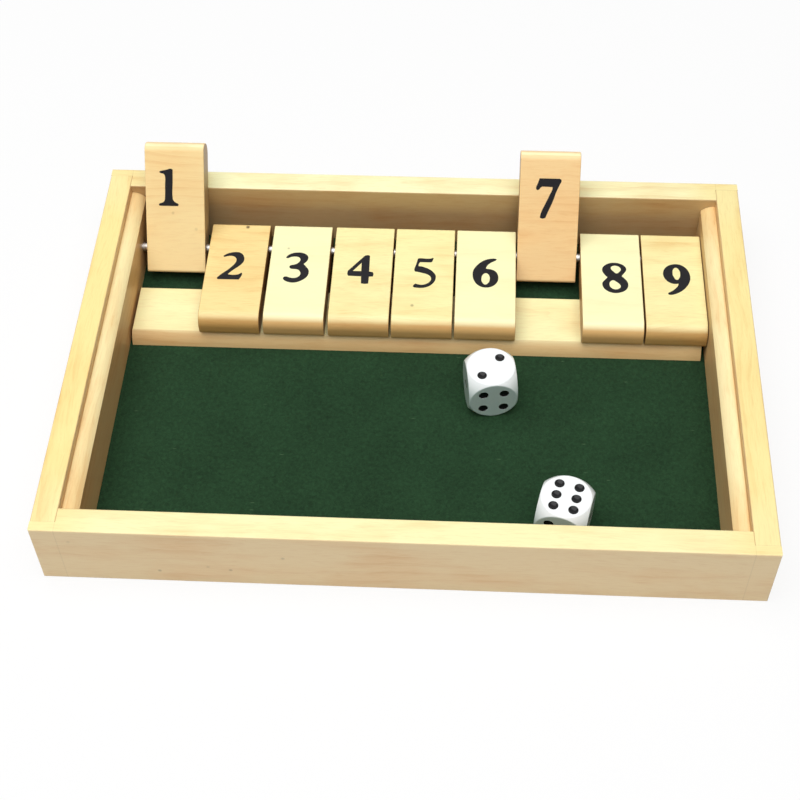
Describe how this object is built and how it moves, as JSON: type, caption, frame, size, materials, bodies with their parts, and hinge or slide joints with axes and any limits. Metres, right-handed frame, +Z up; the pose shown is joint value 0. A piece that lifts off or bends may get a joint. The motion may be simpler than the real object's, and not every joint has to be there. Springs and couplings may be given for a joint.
{
  "type": "shut the box game",
  "caption": "Flip-tile dice game: open wooden tray with a felt floor, hinged number tiles along the back on a steel rod, a rest bar, and loose dice.",
  "frame": {"origin": "on the table, under the middle of the game", "axes": "+Z up, +X along the row of tiles from the lowest number to the highest, +Y to the back, so the player sits at -Y"},
  "size_m": [0.22, 0.1534, 0.0425],
  "materials": {
    "frame_wood": "satin lacquered pale wood",
    "tile_wood": "sanded pale wood",
    "panel_board": "bare hardboard",
    "felt": "short-nap felt",
    "rod_steel": "bright drawn steel",
    "dice_plastic": "polished"
  },
  "bodies": {
    "tray": {"front_wall": "frame_wood", "back_wall": "frame_wood", "left_wall": "frame_wood", "right_wall": "frame_wood", "base_panel": "panel_board", "felt_lining": "felt", "left_strip": "frame_wood", "right_strip": "frame_wood", "rest_bar": "frame_wood", "pivot_rod": "rod_steel"},
    "tile_1": {"number_tile_1": "tile_wood"},
    "tile_2": {"number_tile_2": "tile_wood"},
    "tile_3": {"number_tile_3": "tile_wood"},
    "tile_4": {"number_tile_4": "tile_wood"},
    "tile_5": {"number_tile_5": "tile_wood"},
    "tile_6": {"number_tile_6": "tile_wood"},
    "tile_7": {"number_tile_7": "tile_wood"},
    "tile_8": {"number_tile_8": "tile_wood"},
    "tile_9": {"number_tile_9": "tile_wood"},
    "die_1": {"die_1": "dice_plastic"},
    "die_2": {"die_2": "dice_plastic"}
  },
  "joints": [
    {"name": "tile_1_hinge", "type": "hinge", "parent": "tray", "child": "tile_1", "pos_m": [-0.085, 0.05265, 0.01135], "axis": [-1, 0, 0], "range_deg": [-125.97, 0]},
    {"name": "tile_2_hinge", "type": "hinge", "parent": "tray", "child": "tile_2", "pos_m": [-0.0629, 0.05265, 0.01135], "axis": [-1, 0, 0], "range_deg": [0, 125.97]},
    {"name": "tile_3_hinge", "type": "hinge", "parent": "tray", "child": "tile_3", "pos_m": [-0.04105, 0.05265, 0.01135], "axis": [-1, 0, 0], "range_deg": [0, 125.97]},
    {"name": "tile_4_hinge", "type": "hinge", "parent": "tray", "child": "tile_4", "pos_m": [-0.0192, 0.05265, 0.01135], "axis": [-1, 0, 0], "range_deg": [0, 125.97]},
    {"name": "tile_5_hinge", "type": "hinge", "parent": "tray", "child": "tile_5", "pos_m": [0.002, 0.05265, 0.01135], "axis": [-1, 0, 0], "range_deg": [0, 125.97]},
    {"name": "tile_6_hinge", "type": "hinge", "parent": "tray", "child": "tile_6", "pos_m": [0.0232, 0.05265, 0.01135], "axis": [-1, 0, 0], "range_deg": [0, 125.97]},
    {"name": "tile_7_hinge", "type": "hinge", "parent": "tray", "child": "tile_7", "pos_m": [0.04415, 0.05265, 0.01135], "axis": [-1, 0, 0], "range_deg": [-125.97, 0]},
    {"name": "tile_8_hinge", "type": "hinge", "parent": "tray", "child": "tile_8", "pos_m": [0.06595, 0.05265, 0.01135], "axis": [-1, 0, 0], "range_deg": [0, 125.97]},
    {"name": "tile_9_hinge", "type": "hinge", "parent": "tray", "child": "tile_9", "pos_m": [0.087, 0.05265, 0.01135], "axis": [-1, 0, 0], "range_deg": [0, 125.97]},
    {"name": "die_1_lift", "type": "slide", "parent": "tray", "child": "die_1", "axis": [0, 0, 1], "range_m": [0, 0.06]},
    {"name": "die_2_lift", "type": "slide", "parent": "tray", "child": "die_2", "axis": [0, 0, 1], "range_m": [0, 0.06]}
  ]
}
